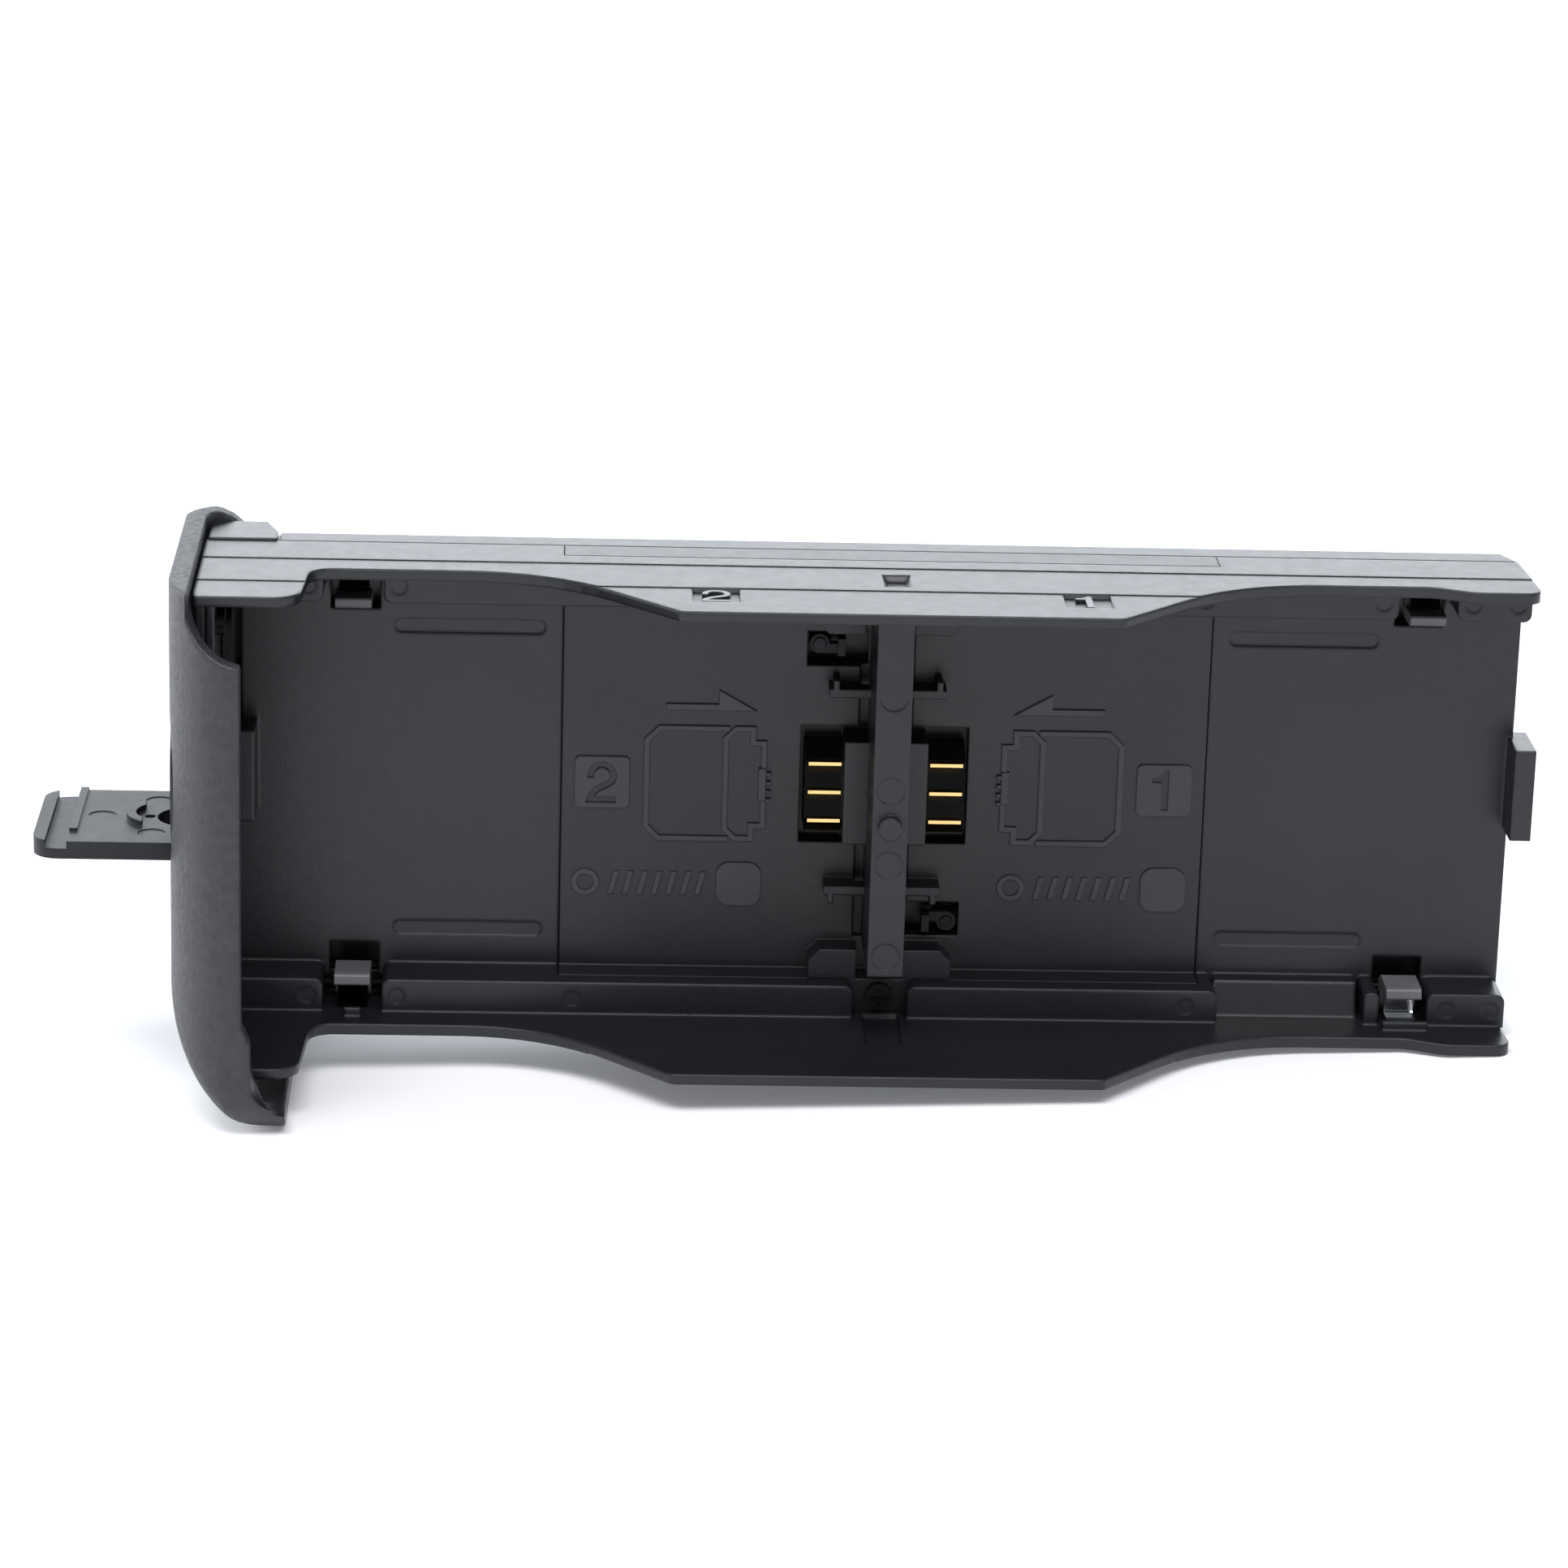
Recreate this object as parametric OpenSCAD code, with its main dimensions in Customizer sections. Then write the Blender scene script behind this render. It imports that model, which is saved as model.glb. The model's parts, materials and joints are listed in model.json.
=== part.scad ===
// Battery tray of a camera battery grip: a drawer for two battery packs laid end to end,
// with a textured end door and a flip-out lock lever.
// Millimetres. X runs along the tray with the door at -X, Z is up, the open side faces -Y.
// The origin is the middle of the rear face.

/* [Battery packs] */
// Width of one pack, across the tray
pack_w = 38.7; // [36:0.1:42]
// Thickness of one pack, out of the seat
pack_d = 22.7; // [20:0.1:26]
// Length of one pack, along the tray
pack_l = 51.7; // [49:0.1:58]
// Free space on each side of a pack
pack_gap = 0.45; // [0.3:0.05:0.8]

/* [Tray] */
// From the rear face to the battery seat
back_t = 5.2; // [5:0.1:7]
// Thickness of the seat plates and the centre panel
seat_t = 1.8; // [1.4:0.1:1.9]
// Thickness of the flanged walls
wall_t = 1.2; // [1:0.1:1.6]
// Depth of the rails in front of the seat
rail_d = 5.6; // [5.2:0.1:7]
// Height of the rails above the walls
rail_h = 3.4; // [3.3:0.1:4.2]
// Depth of the walls at the finger cut-outs
cutout_d = 9.5; // [8.5:0.1:11]
// Length of the deep middle part of the walls
flange_l = 42.8; // [36:0.2:48]
// Length of one sloping wall edge beside the deep part
flare_l = 12.5; // [10:0.1:14]
// Seat beyond the pack at the free end
end_margin = 8.1; // [7.5:0.1:12]
// Length of the head that carries the door
head_l = 10.5; // [9.8:0.1:14]
// Depth of the head at the top
head_top_d = 20.3; // [19:0.1:22]
// Depth of the head at the bottom
head_low_d = 22.9; // [20:0.1:24]
// Height of one small step on the outside of the walls
band_step = 0.08; // [0.06:0.02:0.2]
// Height of the end tongues
tongue_h = 9.5; // [6:0.1:14]

/* [Centre panel] */
// Length of the panel
panel_l = 65.4; // [60:0.2:68]
// Depth of the panel's edge strips in front of the seat
strip_d = 3.2; // [2.6:0.1:3.6]
// Thickness of the divider wall between the packs
divider_t = 3.6; // [3:0.1:4.4]
// Depth of the divider wall
divider_d = 12.6; // [10:0.1:15]
// Height of the divider's lower end below the middle
divider_drop = 16.3; // [15:0.1:17]
// Width of the terminal block's nose
nose_w = 8.4; // [7.6:0.1:9]
// Height of the terminal block's nose
nose_h = 10.8; // [10:0.1:12]
// Distance between contact blades
blade_pitch = 3; // [2.6:0.1:3.4]

/* [Claws] */
// Width of one battery claw
claw_w = 3.6; // [3:0.1:4.4]
// How far a claw reaches past the rail
claw_reach = 0.6; // [0.4:0.1:1.2]
// Radius of the claw hinge pins
claw_pin_r = 0.6; // [0.4:0.05:0.7]

/* [Door] */
// How far the door stands above the upper wall
door_rise = 1.3; // [1:0.1:4]
// How far the door hangs below the lower wall
door_sink = 4.4; // [3.8:0.1:8]
// Front of the door, in front of the seat
door_near = 27.8; // [26.5:0.1:32]
// Rear of the door, behind the seat
door_rear = 9.6; // [8.8:0.1:13]
// Thickness of the door shell
shell_t = 1.5; // [1.2:0.1:2]
// Thickness of the door's leather-grain skin
skin_t = 0.7; // [0.5:0.1:1]
// Length of the door's side lips
lip_l = 7.4; // [6.6:0.1:8]
// Length of the door's bottom lip
sole_l = 11.6; // [9:0.1:12]
// Depth of the rounding along the door's front edge
door_round = 10; // [8:0.1:10.4]

/* [Lock] */
// Distance from the turning disc to the door's front and rear edges
rotor_edge = 5.9; // [5.5:0.1:8]
// How far the lock axis sits behind the middle of the door
lock_shift = 0.8; // [0.5:0.1:1]
// Distance from the upper wall down to the lock axis
lock_drop = 18.4; // [17.6:0.1:19.2]
// Distance from the disc's rim to the lever's sides
lever_edge = 4.3; // [4.1:0.1:6]
// Distance from the disc's rim to the tip of the folded lever
tip_edge = 5.4; // [5:0.1:7]
// Thickness of the lever
lever_t = 1.8; // [1.4:0.1:1.9]
// Distance from the disc's rim up to the lever's hinge
hinge_edge = 5.2; // [5:0.1:6.5]
// Reach of the lock cam from its axis
cam_r = 15.5; // [14.5:0.1:15.6]

/* [Fits] */
// Gap between pieces that are fixed together
fit = 0.1; // [0.05:0.01:0.15]
// Radial gap of a pin in its running hole
run = 0.04; // [0.02:0.01:0.08]
// Gap between pieces that move past each other
clear = 0.3; // [0.25:0.05:0.4]

/* [Hidden] */
$fn = 48;
tiny = 0.02;
far = 200;

// heights across the tray
seat_hz = pack_w / 2 + pack_gap;
wall_in = seat_hz + rail_h;
wall_out = wall_in + wall_t;
plate_over = 1.6;
plate_hz = seat_hz + plate_over;
rim_in = plate_hz + 2 * fit;

// ranges around and beside a value
function around(c, w) = [c - w, c + w];
function span(c, a, b) = [c + a, c + b];

// depths: planes are named by their distance in front of the seat
y_seat = -back_t;
function fwd(d) = y_seat - d;
rim_split = 0.5;
cover_t = 1.6;
rim_back = back_t - cover_t;
flange_d = pack_d + fit;
band_1 = 6;
band_2 = 14.2;

// lengths along the tray
contact_x = nose_w / 2;
pack_end = contact_x + pack_l;
claw_inset = 2.3;
claw_x = pack_end - claw_inset;
claw_gap = claw_w / 2 + 2.3 * clear;
rail_gap = claw_gap + 0.5;
free_end = pack_end + end_margin;
head_gap = 2.1;
head_x = -pack_end - head_gap;
head_end = head_x - head_l;
panel_hx = panel_l / 2;
cover_end = free_end - 2;
cover_start = head_x - 3.2;
notch_hx = divider_t / 2 + 1;

// stack of the door and the lock along X, from the inside out
shell_in = head_end - 2 * fit;
shell_out = shell_in - shell_t;
door_out = shell_out - skin_t;
lip_x = door_out + lip_l;
sole_x = door_out + sole_l;
door_top = wall_out + door_rise;
door_drop = wall_out + door_sink;
frame_t = 1;
frame_x = span(head_end, 2 * fit, 2 * fit + frame_t);
head_wall_t = 0.8;
head_wall = span(frame_x[1], fit, fit + head_wall_t);
rotor_r = (door_near + door_rear) / 2 - rotor_edge;
lock_d = (door_near - door_rear) / 2 - lock_shift;
lock_z = wall_in - lock_drop;
rotor_sunk = 0.2;
rotor_front = door_out + rotor_sunk;
washer_t = 0.2;
rotor_back = head_wall[0] - washer_t;
lever_sunk = 0.15;
hinge_x = rotor_front + lever_sunk + lever_t / 2;
pin_grip = 0.8;
hinge_off = rotor_r - hinge_edge;
hinge_z = lock_z - hinge_off;
lever_w = 2 * (rotor_r - lever_edge);
lever_l = hinge_off + rotor_r - tip_edge;
lever_pin_hw = lever_w / 2 + clear + pin_grip;
ring_h = 0.55;
pocket_x = hinge_x + lever_t / 2 + ring_h + 2 * fit;
flange_w = 1;
flange_r = rotor_r + flange_w;
cam_t = 0.9;
cam_x = span(head_wall[1], 1.5 * fit, 1.5 * fit + cam_t);
seat_left = cam_x[1] + clear;

// repeated small pieces
screw_r = 0.72;
pilot_r = screw_r + tiny;
pilot_floor = 0.4;
head_r = 1.4;
boss_r = 1.9;
mark_r = 0.85;
mark_depth = 0.08;
corner_steps = 8;

// outline corners: each point is [x, y, rounding]
function unit(v) = v / norm(v);
function at(p) = [p.x, p.y];
function arc_points(c, from, sweep, r) = [
    for (i = [0:corner_steps]) let (a = from + sweep * i / corner_steps) c + r * [cos(a), sin(a)]
];
function corner(a, p, b, r) =
    r <= 0 ? [p] :
    let (
        u = unit(a - p),
        v = unit(b - p),
        half = acos(u * v) / 2,
        c = p + unit(u + v) * r / sin(half),
        s = p + u * r / tan(half) - c,
        turn = cross(s, p + v * r / tan(half) - c) > 0 ? 1 : -1
    )
    arc_points(c, atan2(s.y, s.x), turn * (180 - 2 * half), r);
function rounded(pts) =
    let (n = len(pts))
    [for (i = [0:n - 1]) each corner(at(pts[(i + n - 1) % n]), at(pts[i]), at(pts[(i + 1) % n]), pts[i].z)];

// outline of a bent strip of constant thickness along a path
function side_of(p, i, t) =
    let (
        n = len(p),
        a = i == 0 ? unit(p[1] - p[0]) : unit(p[i] - p[i - 1]),
        b = i == n - 1 ? a : unit(p[i + 1] - p[i]),
        m = unit([-a.y - b.y, a.x + b.x])
    )
    p[i] + m * t / (m * [-a.y, a.x]);
function strip(p, t) = concat(
    [for (i = [0:len(p) - 1]) side_of(p, i, t / 2)],
    [for (i = [len(p) - 1:-1:0]) side_of(p, i, -t / 2)]
);

// extrusions of a plan (XY), a front view (XZ) and a side view (YZ)
module plan(z) translate([0, 0, z[0]]) linear_extrude(z[1] - z[0]) children();
module front(d) translate([0, fwd(d[0]), 0]) rotate([90, 0, 0]) linear_extrude(d[1] - d[0]) children();
module side(x) translate([x[0], 0, 0]) rotate([90, 0, 90]) linear_extrude(x[1] - x[0]) children();

// a block by its ranges: along X, in front of the seat, and in height
module block(x, d, z)
    translate([x[0], fwd(d[1]), z[0]]) cube([x[1] - x[0], d[1] - d[0], z[1] - z[0]]);
// a round bar along X, and one square to the seat
module bar_x(x, d, z, r) translate([x[0], fwd(d), z]) rotate([0, 90, 0]) cylinder(h = x[1] - x[0], r = r);
module bar_d(x, d, z, r) translate([x, fwd(d[0]), z]) rotate([90, 0, 0]) cylinder(h = d[1] - d[0], r = r);
module up_and_down() for (k = [0, 1]) mirror([0, 0, k]) children();
module both_ends() for (k = [0, 1]) mirror([k, 0, 0]) children();
module round_slot(l, h) {
    square([l - h, h], center = true);
    for (k = [-1, 1]) translate([k * (l - h) / 2, 0]) circle(d = h);
}

// Tray frame

end_taper = 0.7;
end_pad_d = cutout_d + 1.8;
end_pad_l = 6.8;
end_slope_l = 3.9;
end_r = 1.5;
slope_r = 4;
flare_r = 20;
flange_r0 = 1;
head_foot_r = 2.5;
head_nose_r = 2.8;
head_lean = 0.3;
function wall_outline(head_d) = [
    [head_end, fwd(-rim_split), 0],
    [free_end - end_taper, fwd(-rim_split), 0],
    [free_end, fwd(end_pad_d), end_r],
    [free_end - end_pad_l, fwd(end_pad_d), slope_r],
    [free_end - end_pad_l - end_slope_l, fwd(cutout_d), slope_r],
    [flange_l / 2 + flare_l, fwd(cutout_d), flare_r],
    [flange_l / 2, fwd(flange_d), flange_r0],
    [-flange_l / 2, fwd(flange_d), flange_r0],
    [-flange_l / 2 - flare_l, fwd(cutout_d), flare_r],
    [head_x + head_lean, fwd(cutout_d), head_foot_r],
    [head_x - head_lean, fwd(head_d), head_nose_r],
    [head_end, fwd(head_d), 0]
];

// tapered pocket and sunk number fields in the upper wall's outside, and a dip inside the lower wall
pocket_hw = 1.5;
pocket_d = [8.3, 12.9];
pocket_taper = 0.6;
pocket_floor = wall_out - band_step - 0.6;
field_depth = 0.35;
field_x = [-17.95, 18.35];
field_d = 16.7;
field_w = 4.65;
dip_x = [-1.7, 1.9];
dip_d = [4.4, 13.5];
dip_depth = 0.45;

// one flanged wall, drawn as the upper one
module wall(head_d) difference() {
    plan([wall_in, wall_out]) polygon(rounded(wall_outline(head_d)));
    block([-far, far], [band_1, far], [wall_out - band_step, far]);
    block([-far, far], [band_2, far], [wall_out - 2 * band_step, far]);
}
function funnel(a, b) = [
    [a, far], [a, wall_out], [a + pocket_taper, pocket_floor],
    [b - pocket_taper, pocket_floor], [b, wall_out], [b, far]
];
module pocket() intersection() {
    front(pocket_d + [-1, 1]) polygon(funnel(-pocket_hw, pocket_hw));
    side([-far, far]) polygon(funnel(fwd(pocket_d[1]), fwd(pocket_d[0])));
}

// one stretch of rail, drawn on the upper wall
rail_r = 0.8;
module rail(x0, x1) {
    r = min(rail_r, (x1 - x0) / 3);
    front([-rim_split, rail_d]) polygon(rounded([
        [x0, seat_hz, r], [x1, seat_hz, r], [x1, wall_in + fit, 0], [x0, wall_in + fit, 0]
    ]));
}

// finger relief in the lower rail: the rail's front leans back there
relief_x = [panel_hx + 1.8, claw_x - claw_gap - 2];
relief_d = [2.1, 3.6];
module relief() mirror([0, 0, 1]) side(relief_x) polygon([
    [fwd(-rim_split), seat_hz], [fwd(relief_d[0]), seat_hz],
    [fwd(relief_d[1]), wall_in + fit], [fwd(-rim_split), wall_in + fit]
]);

tongue_d = 4.9;
tongue_z = 1.35;
tongue_t = 1.6;
module tongue(x) block(x, [-seat_t, tongue_d], around(tongue_z, tongue_h / 2));

// rear cover screws, and door screws by depth and height
cover_hole_x = panel_hx + 5.5;
cover_hole_z = seat_hz - 5.8;
cover_holes = [
    [cover_hole_x, cover_hole_z], [cover_hole_x, -cover_hole_z], [free_end - 5, 0],
    [-cover_hole_x, cover_hole_z], [-cover_hole_x, -cover_hole_z], [head_x + 1, 0]
];
door_hole_top = wall_in - 2.6;
door_hole_low = 6.2 - wall_in;
door_hole_off = rotor_r - 5.2;
door_holes = [
    for (k = [-1, 1]) [lock_d + k * door_hole_off, door_hole_top],
    for (k = [0, 1]) [lock_d + 1.2 + 7 * k, door_hole_low]
];

module claw_window() both_ends() up_and_down()
    block(around(claw_x, claw_gap), [-far, rail_d + 1], [seat_hz - window_drop, wall_in - fit]);
window_drop = 2.1;

// long flutes in the seat, and round moulding marks on the rails
flute = [15.2, 1.5];
flute_x = cover_hole_x + 3.9;
flute_z = seat_hz - 3.8;
flute_depth = 0.15;
mark_off = 4.5;
mark_end = 1.4;
end_marks = [-claw_x - mark_off, mark_off - claw_x, claw_x + mark_off, free_end - mark_end];
marks_top = concat(end_marks, [panel_hx - mark_end, claw_x - mark_off]);
marks_low = concat(end_marks, [panel_hx - mark_end, mark_end - panel_hx]);
module rail_mark(x) bar_d(x, [rail_d - mark_depth, rail_d + 1], wall_in - rail_h / 2, mark_r);

// nub under the lower left claw and ledge under the lower right one
nub_x = span(-claw_x, -0.75, 0.9);
ledge_x = span(claw_x, -2.2, 2.4);
ledge_d = [5.7, 7.2];
ledge_h = 0.9;

module tray_frame() color([0.16, 0.16, 0.17]) difference() {
    union() {
        wall(head_top_d);
        mirror([0, 0, 1]) wall(head_low_d);
        block([panel_hx + fit, free_end], [-seat_t, 0], [-plate_hz, plate_hz]);
        block([seat_left, -panel_hx - fit], [-seat_t, 0], [-plate_hz, plate_hz]);
        // below the sweep of the lock cam the seat and the rail reach the head wall
        block([head_wall[0], seat_left + 1], [-seat_t, 0], [-plate_hz, -1]);
        block(head_wall, [-rim_split, head_top_d - 0.8], [-wall_in - fit, wall_in + fit]);
        rail(seat_left, -claw_x - rail_gap);
        mirror([0, 0, 1]) rail(head_wall[0], -claw_x - rail_gap);
        up_and_down() rail(-claw_x + rail_gap, -notch_hx);
        rail(notch_hx, claw_x - rail_gap);
        mirror([0, 0, 1]) rail(notch_hx, relief_x[0] - tiny);
        relief();
        mirror([0, 0, 1]) rail(relief_x[1] + 0.5, claw_x - claw_gap);
        rail(claw_x + rail_gap, free_end);
        mirror([0, 0, 1]) rail(claw_x + claw_gap, free_end);
        for (x = [nub_x, ledge_x]) block(x, ledge_d, [-wall_in - fit, ledge_h - wall_in]);
        tongue(span(free_end, -rim_split, tongue_t));
        tongue([seat_left, seat_left + tongue_t]);
        for (h = cover_holes) bar_d(h.x, [fit - rim_back, -seat_t / 2], h.y, boss_r);
    }
    beyond_door();
    // seat of the centre panel, open to the rear
    block([-panel_hx - fit, panel_hx + fit], [-far, strip_d + fit], [-far, far]);
    claw_window();
    both_ends() up_and_down() claw_pin_holes(tiny);
    for (h = cover_holes) bar_d(h.x, [-far, -pilot_floor], h.y, pilot_r);
    for (h = door_holes) bar_x(head_wall + [-1, 1], h.x, h.y, screw_r + fit);
    bar_x(head_wall + [-1, 1], lock_d, lock_z, shaft_r + run);
    both_ends() up_and_down() translate([flute_x, 0, flute_z])
        front([-flute_depth, 1]) round_slot(flute.x, flute.y);
    // the number fields are on the upper wall only
    for (x = field_x) block(
        around(x, field_w / 2), around(field_d, field_w / 2), [wall_out - 2 * band_step - field_depth, far]);
    pocket();
    block(dip_x, dip_d, [-wall_in - dip_depth, 0]);
    for (x = marks_top) rail_mark(x);
    for (x = marks_low) mirror([0, 0, 1]) rail_mark(x);
}

// Centre panel

sense_at = [contact_x + 2.7, seat_hz - 5.1];
sense_window = [[divider_t / 2 + fit, sense_at.x + 1.2], span(sense_at.y, -2.2, 1.4)];
sense_arm = 4.2;
window_hx = contact_x + 4.3;
window_hz = nose_h / 2 + 0.8;

// guide block beside the divider, drawn at the upper right
guide_x = [divider_t / 2 + 0.6, 7.3];
guide_low = seat_hz - 3.1;
guide_bevel = 1.2;
module guide() front([-tiny, strip_d]) polygon([
    [guide_x[0], plate_hz], [guide_x[0], guide_low], [guide_x[1] - guide_bevel, guide_low],
    [guide_x[1], guide_low + guide_bevel], [guide_x[1], plate_hz]
]);
// key rib with its upturned tooth, drawn at the upper right
rib_end = 5.9;
rib_d = 3;
rib_z = span(seat_hz, -9.8, -8.9);
tooth_x = [4.9, 5.5];
tooth_h = 0.9;
module key_rib() {
    block([divider_t / 2 - fit, rib_end], [-tiny, rib_d], rib_z);
    block(tooth_x, [-tiny, rib_d], [rib_z[1] - fit, rib_z[1] + tooth_h]);
}

// grooves beside the divider wall, and the nub and the moulding marks on its front
groove_w = 0.9;
groove_depth = 1;
nub_r = 1.2;
nub_h = 0.8;
nub_z = -0.5;
divider_marks = [12.9, 3.2, -4.5, 2.1 - divider_drop];
divider_mark_r = 1.4;

module center_panel() color([0.2, 0.2, 0.21]) difference() {
    union() {
        block([-panel_hx, panel_hx], [-seat_t, 0], [-plate_hz, plate_hz]);
        up_and_down() block([-panel_hx, panel_hx], [-rim_split, strip_d], [seat_hz, wall_out]);
        block([-divider_t / 2, divider_t / 2], [-tiny, divider_d], [-divider_drop, wall_in - 2 * fit]);
        both_ends() up_and_down() guide();
        both_ends() up_and_down() key_rib();
        bar_d(0, [divider_d - 1, divider_d + nub_h], nub_z, nub_r);
    }
    // terminal block and its nose
    block(around(0, window_hx), [-far, 1], around(0, window_hz));
    block(around(0, contact_x + fit), [-far, nose_d + fit], around(0, nose_h / 2 + fit));
    for (k = [-1, 1]) block(
        k > 0 ? sense_window.x : [-sense_window.x[1], -sense_window.x[0]], [-far, 1],
        k < 0 ? sense_window.y : [-sense_window.y[1], -sense_window.y[0]]);
    both_ends() block(
        span(divider_t / 2, -fit, groove_w), [-groove_depth, 1], [-divider_drop, seat_hz - fit]);
    bar_d(0, [-far, far], panel_screw_z, screw_r + fit);
    for (z = divider_marks) bar_d(0, [divider_d - mark_depth, far], z, divider_mark_r);
}

// Terminal block, contacts and board

nose_d = 3.2;
block_back = -2.7;
block_hx = window_hx + 1;
block_hz = window_hz + 1;
board_d = [fit - rim_back, block_back - fit];
board_end = 28;
blade_w = 3.3;
blade_x = span(contact_x, clear, clear + blade_w);
blade_t = 0.35;
blade_d = [board_d[1] + tiny, nose_d - clear];
blade_proud = 0.7;
column_x = [contact_x - fit, window_hx - 0.4];
column_hz = blade_pitch + 1.45;
column_lean = 1.4;

module blades(grow) both_ends() for (k = [-1:1]) block(
    blade_x + [-grow, grow], [blade_d[0], blade_d[1] + grow],
    [k * blade_pitch - blade_t / 2 - grow, k * blade_pitch + blade_t / 2 + grow]);

// the columns lean back above each blade
function column_profile() = let (near = fwd(blade_d[1] - blade_proud)) [
    [fwd(block_back), -column_hz],
    for (k = [-2:1]) each [
        [near, max(-column_hz, k * blade_pitch)],
        [near + column_lean, min(column_hz, (k + 1) * blade_pitch)]
    ],
    [fwd(block_back), column_hz]
];

module terminal_block() color([0.07, 0.07, 0.08]) difference() {
    union() {
        block(around(0, contact_x), [block_back, nose_d], around(0, nose_h / 2));
        both_ends() side(column_x) polygon(column_profile());
        block(around(0, block_hx), [block_back, -seat_t - fit], around(0, block_hz));
    }
    blades(tiny);
}

module contact_blades() color([0.85, 0.66, 0.3]) blades(0);

module terminal_board() color([0.1, 0.3, 0.16])
    block([-block_hx, board_end], board_d, around(0, block_hz));

pad_pitch = 3;
pad_margin = 3.5;
pad_x = [for (k = [0:3]) board_end - pad_margin - pad_pitch * k];
pad_w = 1.8;
pad_h = 6;
pad_sunk = 0.7;
module rear_contacts() color([0.85, 0.66, 0.3])
    for (x = pad_x) block(around(x, pad_w / 2), [pad_sunk - back_t, board_d[0]], around(0, pad_h / 2));

// Rear cover

cover_inset = 1.5;
cover_flare = 1.2;
sense_post_r = 1.2;
sense_stop_z = [2.6, 3.4];
head_h = 0.8;
pad_gap = 0.6;
pad_edge = pad_w / 2 + pad_gap;

module rear_cover() color([0.15, 0.15, 0.16]) difference() {
    union() {
        block([cover_start, cover_end], [-back_t, -rim_back], around(0, wall_out - cover_inset));
        up_and_down() plan([rim_in, wall_out]) polygon([
            [cover_start, fwd(-rim_back)], [cover_end, fwd(-rim_back)],
            [cover_end + cover_flare, fwd(-rim_split - fit)], [cover_start, fwd(-rim_split - fit)]
        ]);
        for (k = [0, 1]) rotate([0, 180 * k, 0]) {
            bar_d(-sense_at.x, [-rim_back - tiny, block_back - fit], sense_at.y, sense_post_r);
            block(span(-sense_at.x, -2.2, -0.6), [-rim_back - tiny, -seat_t - 1.5 * fit],
                span(sense_at.y, sense_stop_z[0], sense_stop_z[1]));
        }
    }
    for (h = cover_holes) {
        bar_d(h.x, [-far, -1], h.y, screw_r + fit);
        bar_d(h.x, [-far, 1 - back_t], h.y, head_r + fit);
    }
    block([pad_x[3] - pad_edge, pad_x[0] + pad_edge], [-far, -2], around(0, pad_h / 2 + pad_gap));
    bar_d(0, [head_h - rim_back, 1], panel_screw_z, pilot_r);
    for (k = [0, 1]) rotate([0, 180 * k, 0])
        bar_d(-sense_at.x, [pad_gap - back_t, 1], sense_at.y, sense_pin_r + tiny);
    // light gaps behind the claws
    both_ends() up_and_down()
        block(around(claw_x, claw_gap), [1 - rim_back, 1], [rim_in - 1, wall_out - 1]);
}

slot_size = [1.7, 0.4, 0.6];
module cross_slot() for (k = [0, 90]) rotate([0, 0, k]) cube(slot_size, center = true);
// a screw along Z with its head's underside at zero and the head above
module screw(l, r = head_r, h = head_h) difference() {
    union() {
        translate([0, 0, -l]) cylinder(h = l + tiny, r = screw_r);
        cylinder(h = h, r = r);
    }
    translate([0, 0, h]) cross_slot();
}

module rear_cover_screws() color([0.1, 0.1, 0.11])
    for (h = cover_holes) translate([h.x, -1, h.y]) rotate([-90, 0, 0]) screw(back_t - 1.8);

panel_screw_z = tiny + rail_h / 2 - wall_in;
module panel_screw() color([0.1, 0.1, 0.11])
    translate([0, fwd(strip_d), panel_screw_z]) rotate([90, 0, 0]) screw(strip_d + rim_back - 1);

// Battery claws, drawn as the upper right one

claw_pivot_d = 0.9;
claw_hub_r = 1.2;
claw_pivot_z = wall_in - claw_hub_r - 1.5 * fit;
claw_tip = seat_hz - claw_reach;
claw_pin_over = 1.2;
module claw_pin_holes(grow) bar_x(
    around(claw_x, claw_gap + claw_pin_over + grow), claw_pivot_d, claw_pivot_z, claw_pin_r + grow);

claw_front = 6.1;
claw_lean = 0.4;
claw_web = 2.1;
claw_t = 1.15;
claw_bevel = [1.3, 0.7];
claw_r = 0.5;
module claw() difference() {
    union() {
        side(around(claw_x, claw_w / 2)) polygon(rounded([
            [fwd(fit), claw_pivot_z, 0],
            [fwd(fit), claw_tip + claw_bevel.y, claw_r / 2],
            [fwd(fit + claw_bevel.x), claw_tip, claw_r],
            [fwd(claw_front - claw_lean), claw_tip, claw_r],
            [fwd(claw_front), claw_tip + claw_t, claw_r / 2],
            [fwd(claw_web), claw_tip + claw_t, 0],
            [fwd(claw_web), claw_pivot_z, 0]
        ]));
        bar_x(around(claw_x, claw_w / 2), claw_pivot_d, claw_pivot_z, claw_hub_r);
    }
    bar_x(around(claw_x, claw_w), claw_pivot_d, claw_pivot_z, claw_pin_r + run);
}

// leaf spring between a claw and its wall
leaf_t = 0.25;
leaf_w = 3;
leaf_d = [2.6, 4.4];
leaf_end_d = 3.7;
leaf_z = wall_in - leaf_t / 2 - 2 * fit + tiny;
leaf_bend = 0.2;
leaf_rest = 0.17;
module claw_spring() side(around(claw_x, leaf_w / 2)) polygon(strip([
    [fwd(leaf_d[1]), leaf_z], [fwd(leaf_d[0] + leaf_bend), leaf_z], [fwd(leaf_d[0]), leaf_z - leaf_t],
    [fwd(leaf_end_d), claw_tip + claw_t + leaf_rest]
], leaf_t));

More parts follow.
